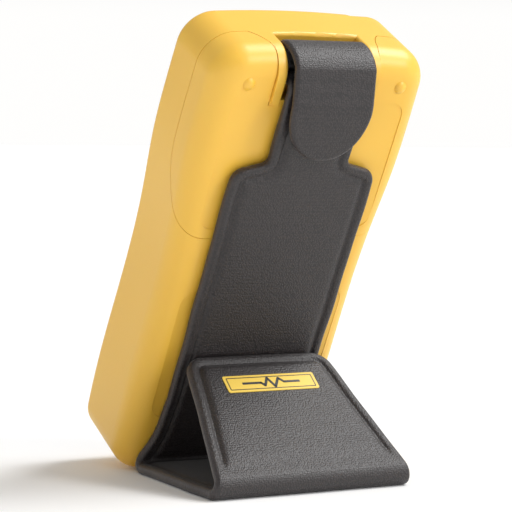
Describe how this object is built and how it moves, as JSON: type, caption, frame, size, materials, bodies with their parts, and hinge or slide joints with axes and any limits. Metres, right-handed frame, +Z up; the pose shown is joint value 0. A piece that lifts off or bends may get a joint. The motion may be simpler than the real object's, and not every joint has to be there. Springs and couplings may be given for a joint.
{
  "type": "digital multimeter",
  "caption": "Pocket digital multimeter with a two-shell case, rotary selector, keys and jacks, leaning on a leather hanging strap folded into a stand.",
  "frame": {"origin": "centre of the footprint's bounding box, on the floor", "axes": "+Z up; +Y from the display side towards the strap stand; +X completes the right-handed frame, to the right of someone facing the display"},
  "size_m": [0.0692, 0.0934, 0.1343],
  "materials": {
    "yellow_shell": "fine satin texture",
    "dark_face": "fine texture",
    "key_rubber": "satin",
    "knob_plastic": "satin",
    "pointer_white": "satin",
    "clear_window": "clear",
    "display": "smooth",
    "white_plastic": "satin",
    "contact_rubber": "matt",
    "circuit_board": "solder mask",
    "gold_plate": "plated",
    "part_black": "moulded",
    "surge_blue": "dipped",
    "copper_wire": "drawn",
    "fuse_ceramic": "glazed",
    "spring_steel": "plated",
    "shield_foil": "rolled",
    "jack_plastic": "smooth",
    "ring_red": "smooth",
    "ring_black": "smooth",
    "cell_wrap": "smooth",
    "tray_plastic": "satin",
    "screw_steel": "plated",
    "strap_leather": "fine pebble grain",
    "strap_board_stock": "pressed",
    "magnet_nickel": "plated",
    "label_yellow": "satin"
  },
  "bodies": {
    "case": {"frame": "yellow_shell", "battery_door": "yellow_shell", "front_case": "dark_face", "strap_bar": "spring_steel", "display_window": "clear_window", "display_frame": "white_plastic", "display_panel": "display", "backlight_guide": "white_plastic", "contact_strips": "contact_rubber", "keypad_mat": "key_rubber", "selector_tracks": "gold_plate", "main_board": "circuit_board", "board_components": "part_black", "surge_parts": "surge_blue", "current_shunt": "copper_wire", "buzzer": "part_black", "fuse": "fuse_ceramic", "fuse_clips": "spring_steel", "rear_shield": "shield_foil", "jack_block": "jack_plastic", "jack_sockets": "gold_plate", "jack_rings_live": "ring_red", "jack_ring_common": "ring_black", "batteries": "cell_wrap", "battery_tray": "tray_plastic", "battery_springs": "spring_steel", "battery_contacts": "spring_steel", "case_screws": "screw_steel", "board_screws": "screw_steel"},
    "knob": {"selector_knob": "knob_plastic", "knob_pointer": "pointer_white", "selector_rotor": "tray_plastic", "rotor_screw": "screw_steel", "detent_balls": "spring_steel", "rotor_wipers": "gold_plate"},
    "door_latch": {"door_screw": "screw_steel"},
    "strap_main": {"strap_main_outer": "strap_leather", "strap_main_inner": "strap_leather", "strap_main_board": "strap_board_stock", "strap_main_magnets": "magnet_nickel", "strap_loop": "strap_leather", "front_fold": "strap_leather", "flap_crease": "strap_leather"},
    "strap_flap": {"flap_outer": "strap_leather", "flap_inner": "strap_leather", "flap_magnet": "magnet_nickel"},
    "strap_base": {"base_sole": "strap_leather", "base_top": "strap_leather", "base_board": "strap_board_stock", "rear_fold": "strap_leather"},
    "strap_leg": {"leg_outer": "strap_leather", "leg_inner": "strap_leather", "leg_board": "strap_board_stock", "leg_magnets": "magnet_nickel", "label_patch": "label_yellow"},
    "key_1": {"button_1": "key_rubber"},
    "key_2": {"button_2": "key_rubber"},
    "key_3": {"button_3": "key_rubber"},
    "key_4": {"button_4": "key_rubber"}
  },
  "joints": [
    {"name": "selector_turn", "type": "hinge", "parent": "case", "child": "knob", "pos_m": [0, -0.02063, 0.05988], "axis": [0, -0.8763, 0.4818], "range_deg": [-80, 80]},
    {"name": "key_1_press", "type": "slide", "parent": "case", "child": "key_1", "axis": [0, 0.8763, -0.4818], "range_m": [0, 0.0008], "stiffness_N_per_m": 800},
    {"name": "key_2_press", "type": "slide", "parent": "case", "child": "key_2", "axis": [0, 0.8763, -0.4818], "range_m": [0, 0.0008], "stiffness_N_per_m": 800},
    {"name": "key_3_press", "type": "slide", "parent": "case", "child": "key_3", "axis": [0, 0.8763, -0.4818], "range_m": [0, 0.0008], "stiffness_N_per_m": 800},
    {"name": "key_4_press", "type": "slide", "parent": "case", "child": "key_4", "axis": [0, 0.8763, -0.4818], "range_m": [0, 0.0008], "stiffness_N_per_m": 800},
    {"name": "door_screw_turn", "type": "hinge", "parent": "case", "child": "door_latch", "pos_m": [0, 0.01823, 0.08074], "axis": [0, 0.8763, -0.4818], "range_deg": [0, 90]},
    {"name": "strap_swing", "type": "hinge", "parent": "case", "child": "strap_main", "pos_m": [0, 0.0383, 0.12015], "axis": [1, 0, 0], "range_deg": [0, 110]},
    {"name": "flap_lift", "type": "hinge", "parent": "strap_main", "child": "strap_flap", "pos_m": [0, 0.04557, 0.11577], "axis": [1, 0, 0], "range_deg": [0, 85], "deforming": ["flap_crease"]},
    {"name": "front_fold_turn", "type": "hinge", "parent": "strap_main", "child": "strap_base", "pos_m": [0, -0.01443, 0.004], "axis": [-1, 0, 0], "range_deg": [0, 115], "deforming": ["front_fold"]},
    {"name": "rear_fold_turn", "type": "hinge", "parent": "strap_base", "child": "strap_leg", "pos_m": [0, 0.03408, 0.004], "axis": [-1, 0, 0], "range_deg": [0, 135], "deforming": ["rear_fold"]}
  ]
}
